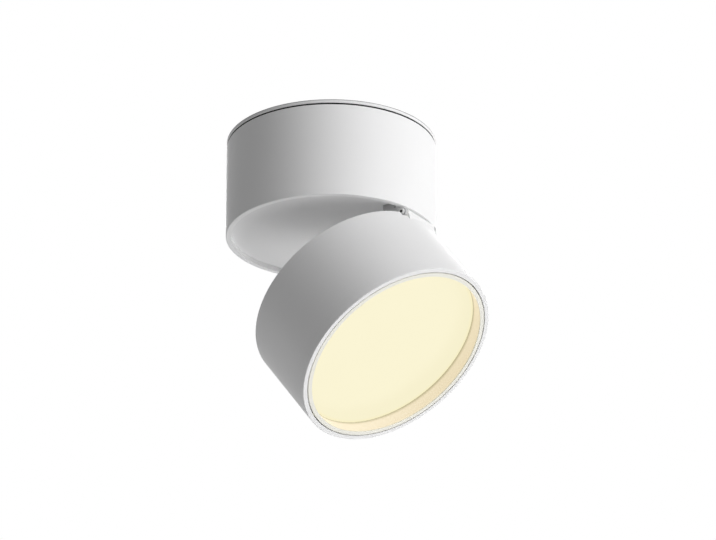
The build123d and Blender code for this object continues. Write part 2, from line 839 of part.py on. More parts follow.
# two-core lead from the driver, through the floor, across the hinge gap, into the back of the
# head, between the fins and round into the plug
lead_end_z = led_board_bottom - connector_height / 2
head_points = [
    (lead_x, 0, lead_grommet_flange + lead_bend / 2),
    (lead_x, 0, lead_end_z),
    (connector_x + connector_length / 2, 0, lead_end_z),
]
lead_points = [
    (driver_x + driver_length / 2 - driver_wall, driver_y, lead_start_z),
    (lead_x - lead_inset / 2, driver_y, lead_start_z),
    (lead_x, 0, bracket_top + lead_bend),
    (lead_x, 0, floor_bottom),
] + [head_plane.from_local_coords(point) for point in head_points]
with BuildPart() as head_lead:
    with BuildLine():
        lead_route = FilletPolyline(*lead_points, radius=lead_bend)
    with BuildSketch(Plane(origin=lead_points[0], z_dir=(1, 0, 0))):
        Circle(lead_radius)
    sweep(path=lead_route)
write(head_lead.part, "head_lead")
lead_section = pi * lead_radius**2
print("lead volume over section times length", head_lead.part.volume / lead_section / lead_route.length)

# white cup between the board and the lens: a cone with a flange round its mouth
reflector_mouth = trim_radius - gasket_width
reflector_foot = led_board_radius - reflector_margin
with BuildPart() as reflector:
    with BuildSketch(head_section):
        with BuildLine():
            Polyline(
                (reflector_foot - reflector_sheet, led_board_bottom),
                (reflector_foot, led_board_bottom),
                (reflector_mouth + reflector_sheet, gasket_back + reflector_sheet),
                (trim_radius, gasket_back + reflector_sheet),
                (trim_radius, gasket_back),
                (reflector_mouth, gasket_back),
                close=True,
            )
        make_face()
    revolve(axis=head_axis)
write(reflector.part, "reflector")

with BuildPart() as lens_gasket:
    with BuildSketch(head_plane.offset(lens_back)):
        Circle(trim_radius)
        Circle(trim_radius - gasket_width, mode=Mode.SUBTRACT)
    extrude(amount=gasket_sheet)
write(lens_gasket.part, "lens_gasket")

with BuildPart() as diffuser:
    with BuildSketch(head_plane.offset(lens_front)):
        Circle(trim_radius)
    extrude(amount=lens_sheet)
write(diffuser.part, "diffuser")

# ring that holds the lens: a wall behind a slightly narrower front lip, and three ribs that grip
# the bore of the head. A narrow shadow line is left between ring and head
with BuildPart() as trim_ring:
    with BuildSketch(head_plane.offset(-head_length)):
        Circle(trim_radius)
    extrude(amount=lens_depth)
    fillet(trim_ring.edges().sort_by(head_axis)[0], trim_gap / 2)
    with BuildSketch(head_plane.offset(-head_length)):
        Circle(lens_radius - trim_lip)
    extrude(amount=lens_depth, mode=Mode.SUBTRACT)
    with BuildSketch(head_plane.offset(-head_length + trim_lip_height)):
        Circle(lens_radius)
    extrude(amount=lens_depth, mode=Mode.SUBTRACT)
    with BuildSketch(head_plane.offset(lens_front - rib_height)):
        with PolarLocations(trim_radius, rib_count, 60):
            Rectangle(2 * (trim_gap - running), rib_width)
        Circle(lens_radius, mode=Mode.SUBTRACT)
        Circle(head_bore - running, mode=Mode.INTERSECT)
    extrude(amount=rib_height)
write(trim_ring.part, "trim_ring")
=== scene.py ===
import math

import bpy
import numpy as np
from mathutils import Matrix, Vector


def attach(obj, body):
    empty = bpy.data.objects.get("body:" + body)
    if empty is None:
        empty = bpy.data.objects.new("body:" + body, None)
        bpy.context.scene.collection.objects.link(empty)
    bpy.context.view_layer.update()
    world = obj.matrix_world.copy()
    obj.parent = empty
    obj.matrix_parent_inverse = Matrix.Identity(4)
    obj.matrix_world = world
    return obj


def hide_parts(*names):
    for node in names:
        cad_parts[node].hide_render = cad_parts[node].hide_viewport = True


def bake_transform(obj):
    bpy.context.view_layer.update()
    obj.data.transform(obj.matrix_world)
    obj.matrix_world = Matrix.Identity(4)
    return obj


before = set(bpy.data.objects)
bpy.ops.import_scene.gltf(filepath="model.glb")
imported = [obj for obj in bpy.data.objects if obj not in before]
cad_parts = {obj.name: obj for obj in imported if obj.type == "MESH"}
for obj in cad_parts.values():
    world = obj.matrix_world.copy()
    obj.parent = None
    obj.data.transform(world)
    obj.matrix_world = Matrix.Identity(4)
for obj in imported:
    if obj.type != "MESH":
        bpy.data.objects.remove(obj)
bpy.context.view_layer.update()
print("frame loaded:", len(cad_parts), "pieces")

mm = 0.001

# places of the solids that the finishes and the new pieces line up with, in millimetres and degrees
headFrame = {"hinge": (48.5, 0.0, -52.3), "pinLevel": -0.2, "tilt": 37.0, "lensLevel": -37.2}
tiltAngle = math.radians(headFrame["tilt"])
headRight = np.array([math.cos(tiltAngle), 0.0, math.sin(tiltAngle)])  # towards the hinge
headUp = np.array([0.0, 1.0, 0.0])
headOut = np.array([-math.sin(tiltAngle), 0.0, math.cos(tiltAngle)])  # from the head's back to the drum


def drumPoint(x, y, z):
    # a point of the drum or the plate given in millimetres
    return (x * mm, y * mm, z * mm)


def headPoint(x, y, z):
    # a point given in millimetres in the head's own frame: x to the hinge, z to the drum
    hinge = headFrame["hinge"]
    dx, dz = x - hinge[0], z - headFrame["pinLevel"]
    rightX, rightZ = math.cos(tiltAngle), math.sin(tiltAngle)
    return (
        (hinge[0] + dx * rightX - dz * rightZ) * mm,
        y * mm,
        (hinge[2] + dx * rightZ + dz * rightX) * mm,
    )


# shader helpers

nodeGrid = {"columns": 6, "across": 220, "down": 300}  # where new nodes are laid out in the editor
mixFirst, mixSecond, mixColour = 6, 7, 2  # colour sockets of a Mix node
noiseSpan = (0.3, 0.7)  # most of a noise texture's values lie between these

# what a finish has unless it says otherwise: grain and cloud are counts per metre
coatDefaults = {"grain": 900.0, "cloud": 18.0, "sheen": 0.04, "relief": 0.6, "plain": {}}
metalDefaults = {"stretch": (1, 30, 30), "grain": 400.0, "sheen": 0.07, "relief": 0.5}


def addNode(tree, kind, **values):
    # a node of this kind, with settings by attribute name and inputs by socket name
    node = tree.nodes.new(kind)
    row, column = divmod(len(tree.nodes), nodeGrid["columns"])
    node.location = (column * nodeGrid["across"], -row * nodeGrid["down"])
    for key, value in values.items():
        if hasattr(node, key):
            setattr(node, key, value)
        else:
            node.inputs[key.replace("_", " ")].default_value = value
    return node


def newGroup(name, inputs, outputs):
    group = bpy.data.node_groups.new(name, "ShaderNodeTree")
    for label, kind, value in inputs:
        socket = group.interface.new_socket(label, in_out="INPUT", socket_type=kind)
        socket.default_value = value
    for label, kind in outputs:
        group.interface.new_socket(label, in_out="OUTPUT", socket_type=kind)
    return group, addNode(group, "NodeGroupInput"), addNode(group, "NodeGroupOutput")


def makeCoatGrain():
    # orange peel of a sprayed coat: soft swells with finer pits over them, and a faint cloud in tone
    group, start, end = newGroup(
        "coatGrain",
        [("Vector", "NodeSocketVector", (0, 0, 0)), ("Grain", "NodeSocketFloat", coatDefaults["grain"]),
         ("Cloud", "NodeSocketFloat", coatDefaults["cloud"])],
        [("Height", "NodeSocketFloat"), ("Tone", "NodeSocketFloat"), ("Sheen", "NodeSocketFloat")],
    )
    link = group.links.new
    pitsPerSwell, pitsWeight = 1.7, 0.45
    swell = addNode(group, "ShaderNodeTexNoise", Detail=2.0, Roughness=0.45)
    pits = addNode(group, "ShaderNodeTexVoronoi", feature="SMOOTH_F1", Smoothness=0.6)
    cloud = addNode(group, "ShaderNodeTexNoise", Detail=3.0, Roughness=0.5)
    finer = addNode(group, "ShaderNodeMath", operation="MULTIPLY")
    finer.inputs[1].default_value = pitsPerSwell
    for node in (swell, pits, cloud):
        link(start.outputs["Vector"], node.inputs["Vector"])
    link(start.outputs["Grain"], swell.inputs["Scale"])
    link(start.outputs["Grain"], finer.inputs[0])
    link(finer.outputs[0], pits.inputs["Scale"])
    link(start.outputs["Cloud"], cloud.inputs["Scale"])
    mixed = addNode(group, "ShaderNodeMath", operation="MULTIPLY_ADD")
    mixed.inputs[1].default_value = pitsWeight
    link(pits.outputs["Distance"], mixed.inputs[0])
    link(swell.outputs["Fac"], mixed.inputs[2])
    link(mixed.outputs[0], end.inputs["Height"])
    link(cloud.outputs["Fac"], end.inputs["Tone"])
    link(swell.outputs["Fac"], end.inputs["Sheen"])
    return group


def makeDrawnLines():
    # marks of rolling or turning: noise drawn out along one way of the vector it is given
    group, start, end = newGroup(
        "drawnLines",
        [("Vector", "NodeSocketVector", (0, 0, 0)), ("Stretch", "NodeSocketVector", metalDefaults["stretch"]),
         ("Grain", "NodeSocketFloat", metalDefaults["grain"])],
        [("Height", "NodeSocketFloat"), ("Tone", "NodeSocketFloat")],
    )
    link = group.links.new
    share = 0.5  # of the lines and of the patches in the tone
    drawn = addNode(group, "ShaderNodeVectorMath", operation="MULTIPLY")
    link(start.outputs["Vector"], drawn.inputs[0])
    link(start.outputs["Stretch"], drawn.inputs[1])
    lines = addNode(group, "ShaderNodeTexNoise", Detail=4.0, Roughness=0.65)
    link(drawn.outputs[0], lines.inputs["Vector"])
    link(start.outputs["Grain"], lines.inputs["Scale"])
    patch = addNode(group, "ShaderNodeTexNoise", Scale=60.0, Detail=2.0)
    link(start.outputs["Vector"], patch.inputs["Vector"])
    half = addNode(group, "ShaderNodeMath", operation="MULTIPLY")
    half.inputs[1].default_value = share
    link(lines.outputs["Fac"], half.inputs[0])
    tone = addNode(group, "ShaderNodeMath", operation="MULTIPLY_ADD")
    tone.inputs[1].default_value = share
    link(patch.outputs["Fac"], tone.inputs[0])
    link(half.outputs[0], tone.inputs[2])
    link(lines.outputs["Fac"], end.inputs["Height"])
    link(tone.outputs[0], end.inputs["Tone"])
    return group


def makeAxisPlace():
    # radius about an axis and height along it: length of the cross product, and the dot product
    group, start, end = newGroup(
        "axisPlace",
        [("Vector", "NodeSocketVector", (0, 0, 0)), ("Origin", "NodeSocketVector", (0, 0, 0)),
         ("Axis", "NodeSocketVector", (0, 0, 1))],
        [("Radius", "NodeSocketFloat"), ("Height", "NodeSocketFloat")],
    )
    link = group.links.new
    local = addNode(group, "ShaderNodeVectorMath", operation="SUBTRACT")
    across = addNode(group, "ShaderNodeVectorMath", operation="CROSS_PRODUCT")
    radius = addNode(group, "ShaderNodeVectorMath", operation="LENGTH")
    height = addNode(group, "ShaderNodeVectorMath", operation="DOT_PRODUCT")
    link(start.outputs["Vector"], local.inputs[0])
    link(start.outputs["Origin"], local.inputs[1])
    for node in (across, height):
        link(local.outputs[0], node.inputs[0])
        link(start.outputs["Axis"], node.inputs[1])
    link(across.outputs[0], radius.inputs[0])
    link(radius.outputs["Value"], end.inputs["Radius"])
    link(height.outputs["Value"], end.inputs["Height"])
    return group


coatGrain = makeCoatGrain()
drawnLines = makeDrawnLines()
axisPlace = makeAxisPlace()


def startMaterial(name, plain):
    # plain holds what is the same all over, set on the shader's own sockets
    material = bpy.data.materials.new(name)
    material.use_nodes = True
    addNode(material.node_tree, "ShaderNodeTexCoord")
    for key, value in plain.items():
        material.node_tree.nodes["Principled BSDF"].inputs[key].default_value = value
    return material


def partsOf(material):
    tree = material.node_tree
    return tree, tree.nodes["Principled BSDF"], tree.nodes["Texture Coordinate"].outputs["Object"]


def useGroup(tree, group, vector, **values):
    node = addNode(tree, "ShaderNodeGroup", node_tree=group)
    for key, value in values.items():
        node.inputs[key].default_value = value
    tree.links.new(vector, node.inputs["Vector"])
    return node


def mapped(tree, value, fromSpan, toSpan, interpolation="LINEAR"):
    node = addNode(tree, "ShaderNodeMapRange", interpolation_type=interpolation)
    for label, span in (("From", fromSpan), ("To", toSpan)):
        node.inputs[label + " Min"].default_value = span[0]
        node.inputs[label + " Max"].default_value = span[1]
    tree.links.new(value, node.inputs["Value"])
    return node.outputs["Result"]


def rising(tree, value, low, high):
    # 0 up to low, 1 from high on, smooth between; with low above high it falls instead
    return mapped(tree, value, sorted((low, high)), (0.0, 1.0) if low < high else (1.0, 0.0), "SMOOTHSTEP")


def both(tree, first, second):
    node = addNode(tree, "ShaderNodeMath", operation="MULTIPLY")
    tree.links.new(first, node.inputs[0])
    tree.links.new(second, node.inputs[1])
    return node.outputs[0]


def blendColours(tree, value, first, second):
    node = addNode(tree, "ShaderNodeMix", data_type="RGBA")
    node.inputs[mixFirst].default_value = (*first, 1)
    node.inputs[mixSecond].default_value = (*second, 1)
    tree.links.new(value, node.inputs[0])
    return node.outputs[mixColour]


def toned(tree, skin, dark, light):
    # two near tones in the soft clouds of a skin
    return blendColours(tree, mapped(tree, skin.outputs["Tone"], noiseSpan, (0.0, 1.0)), dark, light)


def paintOver(tree, shader, mask, colour, socket="Base Color"):
    # one colour laid over what already feeds the socket, where the mask is 1
    under = shader.inputs[socket].links[0].from_socket
    node = addNode(tree, "ShaderNodeMix", data_type="RGBA")
    node.inputs[mixSecond].default_value = (*colour, 1)
    tree.links.new(mask, node.inputs[0])
    tree.links.new(under, node.inputs[mixFirst])
    tree.links.new(node.outputs[mixColour], shader.inputs[socket])


def giveSurface(tree, shader, sheen, height, look):
    # roughness that wanders about its middle, unless the look holds it still, and a fine relief
    middle, swing = look["roughness"], look["sheen"]
    if swing:
        wander = mapped(tree, sheen, noiseSpan, (middle - swing, middle + swing))
        tree.links.new(wander, shader.inputs["Roughness"])
    else:
        shader.inputs["Roughness"].default_value = middle
    bump = addNode(tree, "ShaderNodeBump", Distance=look["depth"], Strength=look["relief"])
    tree.links.new(height, bump.inputs["Height"])
    tree.links.new(bump.outputs["Normal"], shader.inputs["Normal"])


def coated(name, look):
    # sprayed or moulded skin: two near tones in soft clouds, grain in height and in roughness
    look = {**coatDefaults, **look}
    material = startMaterial(name, look["plain"])
    tree, shader, where = partsOf(material)
    skin = useGroup(tree, coatGrain, where, Grain=look["grain"], Cloud=look["cloud"])
    skin.name = "skin"
    tree.links.new(toned(tree, skin, look["dark"], look["light"]), shader.inputs["Base Color"])
    giveSurface(tree, shader, skin.outputs["Sheen"], skin.outputs["Height"], look)
    return material


def drawnMetal(name, look):
    # bare metal with drawn marks in tone, roughness and height
    look = {**metalDefaults, **look}
    material = startMaterial(name, {"Metallic": 1.0})
    tree, shader, where = partsOf(material)
    marks = useGroup(tree, drawnLines, where, Stretch=look["stretch"], Grain=look["grain"])
    tree.links.new(toned(tree, marks, look["dark"], look["light"]), shader.inputs["Base Color"])
    giveSurface(tree, shader, marks.outputs["Tone"], marks.outputs["Height"], look)
    return material


# finishes: colours are linear, depth is the height of the relief, grain and cloud are counts per metre

paint = {"light": (0.862, 0.861, 0.863), "dark": (0.834, 0.833, 0.836), "roughness": 0.5, "depth": 0.02 * mm,
         "grain": 1300.0, "plain": {"Specular IOR Level": 0.2}}
coats = {
    "whiteCoat": paint,
    "reflectorWhite": {"light": (0.9, 0.9, 0.89), "dark": (0.87, 0.87, 0.86), "roughness": 0.65,
                       "depth": 0.01 * mm},
    "bearingPlastic": {"light": (0.82, 0.81, 0.775), "dark": (0.78, 0.77, 0.735), "roughness": 0.4,
                       "depth": 0.01 * mm, "grain": 500.0},
    "whiteRubber": {"light": (0.74, 0.74, 0.72), "dark": (0.68, 0.68, 0.66), "roughness": 0.62,
                    "depth": 0.02 * mm, "grain": 1400.0},
    "greyRubber": {"light": (0.12, 0.12, 0.125), "dark": (0.085, 0.085, 0.09), "roughness": 0.7,
                   "depth": 0.03 * mm, "grain": 1400.0},
    "driverPlastic": {"light": (0.78, 0.78, 0.77), "dark": (0.73, 0.73, 0.72), "roughness": 0.5,
                      "depth": 0.03 * mm, "grain": 1500.0},
    "blockPlastic": {"light": (0.84, 0.84, 0.79), "dark": (0.8, 0.8, 0.75), "roughness": 0.35,
                     "depth": 0.01 * mm, "grain": 600.0},
    "componentBlack": {"light": (0.03, 0.03, 0.034), "dark": (0.02, 0.02, 0.024), "roughness": 0.38,
                       "depth": 0.02 * mm},
    "sheath": {"light": (0.8, 0.8, 0.78), "dark": (0.75, 0.75, 0.73), "roughness": 0.45,
               "depth": 0.01 * mm, "grain": 800.0},
    "castAlloy": {"light": (0.62, 0.63, 0.64), "dark": (0.5, 0.51, 0.52), "roughness": 0.5,
                  "depth": 0.08 * mm, "grain": 1100.0, "plain": {"Metallic": 1.0}},
    # painted shade: the inside of the hex sockets is near black
    "paintedSocketShade": {"light": (0.02, 0.02, 0.02), "dark": (0.012, 0.012, 0.012), "roughness": 0.6,
                    "depth": 0.01 * mm, "grain": 1400.0, "plain": {"Specular IOR Level": 0.2}},
    "ledBoardWhite": {"light": (0.86, 0.86, 0.84), "dark": (0.78, 0.78, 0.76), "roughness": 0.47,
                      "depth": 0.01 * mm, "grain": 1200.0, "cloud": 80.0, "sheen": 0.05, "relief": 0.4},
}
metals = {
    "zincSheet": {"light": (0.66, 0.67, 0.69), "dark": (0.5, 0.51, 0.54), "roughness": 0.36,
                  "depth": 0.01 * mm, "stretch": (1, 14, 14), "grain": 260.0},
    "screwSteel": {"light": (0.64, 0.645, 0.65), "dark": (0.48, 0.485, 0.5), "roughness": 0.3,
                   "depth": 0.01 * mm, "stretch": (9, 9, 1), "grain": 500.0},
    "bracketSteel": {"light": (0.5, 0.5, 0.505), "dark": (0.42, 0.42, 0.425), "roughness": 0.48,
                     "depth": 0.01 * mm, "stretch": (1, 14, 14), "grain": 260.0},
    "pivotSteel": {"light": (0.52, 0.52, 0.52), "dark": (0.44, 0.44, 0.44), "roughness": 0.4,
                   "depth": 0.005 * mm, "stretch": (9, 1, 9), "grain": 500.0},
    "springSteel": {"light": (0.5, 0.5, 0.5), "dark": (0.36, 0.36, 0.37), "roughness": 0.28,
                    "depth": 0.01 * mm, "stretch": (12, 1, 12), "grain": 300.0},
    "brass": {"light": (0.72, 0.5, 0.2), "dark": (0.58, 0.38, 0.13), "roughness": 0.3,
              "depth": 0.01 * mm, "stretch": (9, 9, 1), "grain": 500.0},
}
finishes = {name: coated(name, look) for name, look in coats.items()}
finishes.update({name: drawnMetal(name, look) for name, look in metals.items()})


lensLook = {"glow": (0.9, 0.848, 0.604), "rimGlow": (0.915, 0.85, 0.57), "strength": 1.0,
            "shade": (0.99, 0.99, 0.985), "body": (0.02, 0.019, 0.016, 1), "specular": 0.15,
            "radius": 45.3 * mm, "rim": 1.0 * mm, "grain": 1500.0, "cloud": 30.0,
            "roughness": 0.42, "sheen": 0.04, "depth": 0.01 * mm, "relief": 0.4}


def makeOpal():
    # opal sheet lit from behind: even glow, a little deeper in colour at the rim, fine grain
    material = startMaterial("opalSheet", {"Base Color": lensLook["body"],
                                           "Specular IOR Level": lensLook["specular"],
                                           "Emission Strength": lensLook["strength"]})
    tree, shader, where = partsOf(material)
    skin = useGroup(tree, coatGrain, where, Grain=lensLook["grain"], Cloud=lensLook["cloud"])
    spot = useGroup(tree, axisPlace, where, Origin=headPoint(0, 0, 0), Axis=headOut)
    rim = rising(tree, spot.outputs["Radius"], lensLook["radius"] - lensLook["rim"], lensLook["radius"])
    shaded = addNode(tree, "ShaderNodeMix", data_type="RGBA", blend_type="MULTIPLY")
    shaded.inputs[0].default_value = 1.0
    tree.links.new(blendColours(tree, rim, lensLook["glow"], lensLook["rimGlow"]), shaded.inputs[mixFirst])
    tree.links.new(toned(tree, skin, lensLook["shade"], (1.0, 1.0, 1.0)), shaded.inputs[mixSecond])
    tree.links.new(shaded.outputs[mixColour], shader.inputs["Emission Color"])
    giveSurface(tree, shader, skin.outputs["Sheen"], skin.outputs["Height"], lensLook)
    return material


# painted light and shade in the recess: the emission colour inside the bore is painted lens light, wall is
# the greyed base under it, and the foot band is a painted shadow
trimLook = {"light": (0.85, 0.835, 0.76), "dark": (0.8245, 0.80995, 0.7372), "roughness": 0.42,
            "depth": 0.008 * mm, "grain": 700.0,
            "plain": {"Specular IOR Level": 0.3, "Emission Strength": 1.0},
            "wall": (0.5, 0.5, 0.5), "paintedLensGlow": (0.5, 0.405, 0.255), "bore": 46.15 * mm, "boreSoft": 0.1 * mm,
            "frontLevel": -44.9 * mm, "frontSoft": 0.4 * mm,
            "foot": (0.45, 0.43, 0.36), "footWash": (0.18, 0.155, 0.08), "footWidth": 2.0 * mm}


def makeTrim():
    # warm white moulding; painted light: the recess wall glows with painted lens light over a greyed base,
    # and a painted shadow darkens its foot next to the lens
    look = trimLook
    material = coated("trimWhite", look)
    tree, shader, where = partsOf(material)
    spot = useGroup(tree, axisPlace, where, Origin=headPoint(0, 0, 0), Axis=headOut)
    radius, height = spot.outputs["Radius"], spot.outputs["Height"]
    lensLevel = headFrame["lensLevel"] * mm
    inside = both(tree, rising(tree, radius, look["bore"], look["bore"] - look["boreSoft"]),
                  rising(tree, height, look["frontLevel"], look["frontLevel"] + look["frontSoft"]))
    foot = both(tree, inside, rising(tree, height, lensLevel - look["footWidth"], lensLevel))
    # painted light: emission on the wall stands in for the lens's light falling on it
    paintedGlowColour = blendColours(tree, inside, (0.0, 0.0, 0.0), look["paintedLensGlow"])
    tree.links.new(paintedGlowColour, shader.inputs["Emission Color"])
    paintOver(tree, shader, inside, look["wall"])
    # painted shadow: darker colour and weaker painted glow in the band at the wall's foot
    paintOver(tree, shader, foot, look["foot"])
    paintOver(tree, shader, foot, look["footWash"], "Emission Color")
    return material


paintedRimHighlight = {"tone": (0.95, 0.95, 0.95), "radius": 49.6 * mm, "radiusSoft": 0.2 * mm,
           "level": -46.5 * mm, "levelSoft": 0.1 * mm}


def makeDrumCoat():
    # painted highlight: the rim below and the step inside it are painted whiter, standing in for the light
    # they catch
    look = paintedRimHighlight
    material = coated("drumCoat", paint)
    tree, shader, where = partsOf(material)
    spot = useGroup(tree, axisPlace, where)
    radius, height = spot.outputs["Radius"], spot.outputs["Height"]
    rim = both(tree, rising(tree, radius, look["radius"], look["radius"] - look["radiusSoft"]),
               rising(tree, height, look["level"], look["level"] - look["levelSoft"]))
    # painted highlight: whiter colour on the rim and the step
    paintOver(tree, shader, rim, look["tone"])
    return material


plateLook = {"under": (0.012, 0.012, 0.013), "underLevel": -1.62 * mm, "underRadius": 49.75 * mm,
             "dishRadius": 42.1 * mm, "soft": 0.1 * mm,
             # painted shade: a grey band along the plate's top edge at the ceiling
             "paintedEdgeShade": (0.35, 0.35, 0.355), "edgeShadeLevel": -0.42 * mm, "edgeShadeSoft": 0.08 * mm,
             "edgeShadeRadius": 49.0 * mm, "edgeShadeRadiusSoft": 0.2 * mm}


def makePlateCoat():
    # white on the edge that shows; painted shade: near black under the flange, inside the shadow gap, and a
    # grey band along the ceiling edge
    look = plateLook
    material = coated("plateCoat", paint)
    tree, shader, where = partsOf(material)
    spot = useGroup(tree, axisPlace, where)
    radius, height = spot.outputs["Radius"], spot.outputs["Height"]
    flange = both(tree, rising(tree, radius, look["underRadius"] + look["soft"], look["underRadius"]),
                  rising(tree, radius, look["dishRadius"], look["dishRadius"] + look["soft"]))
    under = both(tree, flange, rising(tree, height, look["underLevel"], look["underLevel"] - look["soft"]))
    paintedEdgeShade = both(tree, rising(tree, height, look["edgeShadeLevel"], look["edgeShadeLevel"] + look["edgeShadeSoft"]),
                rising(tree, radius, look["edgeShadeRadius"], look["edgeShadeRadius"] + look["edgeShadeRadiusSoft"]))
    # painted shade: the flange's underside in the shadow gap is near black
    paintOver(tree, shader, under, look["under"])
    # painted shade: grey band at the ceiling edge
    paintOver(tree, shader, paintedEdgeShade, look["paintedEdgeShade"])
    return material


boardLook = {"lacquer": (0.012, 0.09, 0.035), "track": (0.05, 0.2, 0.08), "cells": 120.0, "trackWidth": 0.03,
             "cellTone": (0.0, 0.0, 0.0, 1), "nextCellTone": (0.15, 0.15, 0.15, 1),
             "grain": 700.0, "cloud": 60.0, "roughness": 0.36, "sheen": 0.06, "depth": 0.03 * mm,
             "relief": 0.5, "plain": {"Coat Weight": 0.4, "Coat Roughness": 0.15}}


def makeGreenBoard():
    # lacquered board: copper tracks show as paler lines round rectangular cells
    material = startMaterial("greenBoard", boardLook["plain"])
    tree, shader, where = partsOf(material)
    skin = useGroup(tree, coatGrain, where, Grain=boardLook["grain"], Cloud=boardLook["cloud"])
    tracks = addNode(tree, "ShaderNodeTexBrick", offset=0.5, squash=1.0, Scale=boardLook["cells"],
                     Mortar_Size=boardLook["trackWidth"], Color1=boardLook["cellTone"],
                     Color2=boardLook["nextCellTone"], Mortar=(1.0, 1.0, 1.0, 1))
    tree.links.new(where, tracks.inputs["Vector"])
    tree.links.new(blendColours(tree, tracks.outputs["Color"], boardLook["lacquer"], boardLook["track"]),
                   shader.inputs["Base Color"])
    giveSurface(tree, shader, skin.outputs["Sheen"], tracks.outputs["Color"], boardLook)
    return material


wireLook = {"grain": 900.0, "cloud": 200.0, "roughness": 0.39, "sheen": 0.05, "depth": 0.01 * mm,
            "relief": 0.4, "soft": 0.2 * mm}
wires = {
    "supplyWires": {"low": (0.02, 0.09, 0.42), "high": (0.16, 0.06, 0.03), "axis": "X", "edge": -11.5 * mm},
    "earthWire": {"low": (0.1, 0.42, 0.06), "high": (0.75, 0.62, 0.03), "axis": "Z", "edge": -35.0 * mm},
}


def makeWire(name, wire):
    # insulation in two colours, one on each side of an edge across one axis
    material = startMaterial(name, {})
    tree, shader, where = partsOf(material)
    skin = useGroup(tree, coatGrain, where, Grain=wireLook["grain"], Cloud=wireLook["cloud"])
    axes = addNode(tree, "ShaderNodeSeparateXYZ")
    tree.links.new(where, axes.inputs[0])
    span = (wire["edge"] - wireLook["soft"], wire["edge"] + wireLook["soft"])
    side = mapped(tree, axes.outputs[wire["axis"]], span, (0.0, 1.0))
    tree.links.new(blendColours(tree, side, wire["low"], wire["high"]), shader.inputs["Base Color"])
    giveSurface(tree, shader, skin.outputs["Sheen"], skin.outputs["Height"], wireLook)
    return material


phosphorLook = {"dark": (0.86, 0.6, 0.12), "light": (0.92, 0.7, 0.2), "roughness": 0.5, "sheen": 0.0,
                "depth": 0.02 * mm, "relief": 0.4, "grain": 1500.0, "cloud": 900.0,
                "darkGlow": (1.0, 0.8, 0.4), "lightGlow": (1.0, 0.86, 0.5),
                "plain": {"Emission Strength": 0.6}}


def makePhosphor():
    # grainy yellow fill of the packages, with a glow of its own that follows the grain
    material = coated("phosphor", phosphorLook)
    tree, shader, _ = partsOf(material)
    glow = toned(tree, tree.nodes["skin"], phosphorLook["darkGlow"], phosphorLook["lightGlow"])
    tree.links.new(glow, shader.inputs["Emission Color"])
    return material


finishes.update(opalSheet=makeOpal(), trimWhite=makeTrim(), drumCoat=makeDrumCoat(),
                plateCoat=makePlateCoat(), greenBoard=makeGreenBoard(), phosphor=makePhosphor())
finishes.update({name: makeWire(name, wire) for name, wire in wires.items()})

nodesOf = {
    "plateCoat": ["ceiling_plate"],
    "drumCoat": ["drum_housing"],
    "whiteCoat": ["head_housing"],
    "trimWhite": ["trim_ring"],
    "opalSheet": ["diffuser"],
    "reflectorWhite": ["reflector"],
    "zincSheet": ["turntable_plate", "hub_nut"],
    "bracketSteel": ["hinge_bracket"],
    "springSteel": ["latch_spring", "disc_spring"],
    "screwSteel": ["latch_rivet", "stop_pin", "turntable_screws", "bracket_screws", "driver_screws",
                   "block_screws", "sink_screws", "board_screws", "hinge_screws"],
    "castAlloy": ["swivel_hub", "heat_sink"],
    "bearingPlastic": ["bearing_ring", "thrust_washer", "friction_washers"],
    "greyRubber": ["cable_grommet"],
    "whiteRubber": ["floor_grommet", "head_grommet", "lens_gasket"],
    "sheath": ["head_lead"],
    "driverPlastic": ["driver_case", "driver_cover"],
    "greenBoard": ["driver_board"],
    "componentBlack": ["driver_parts"],
    "blockPlastic": ["terminal_block", "lead_connector"],
    "brass": ["terminal_screws", "earth_screw"],
    "supplyWires": ["input_leads"],
    "earthWire": ["earth_lead"],
    "ledBoardWhite": ["led_board"],
    "phosphor": ["led_packages"],
}
for name, nodes in nodesOf.items():
    for node in nodes:
        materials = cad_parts[node].data.materials
        materials.clear()
        materials.append(finishes[name])
print("finishes set")


# pieces that stand for the plain solids of the fasteners and the lead

sharpAngle = math.radians(32)


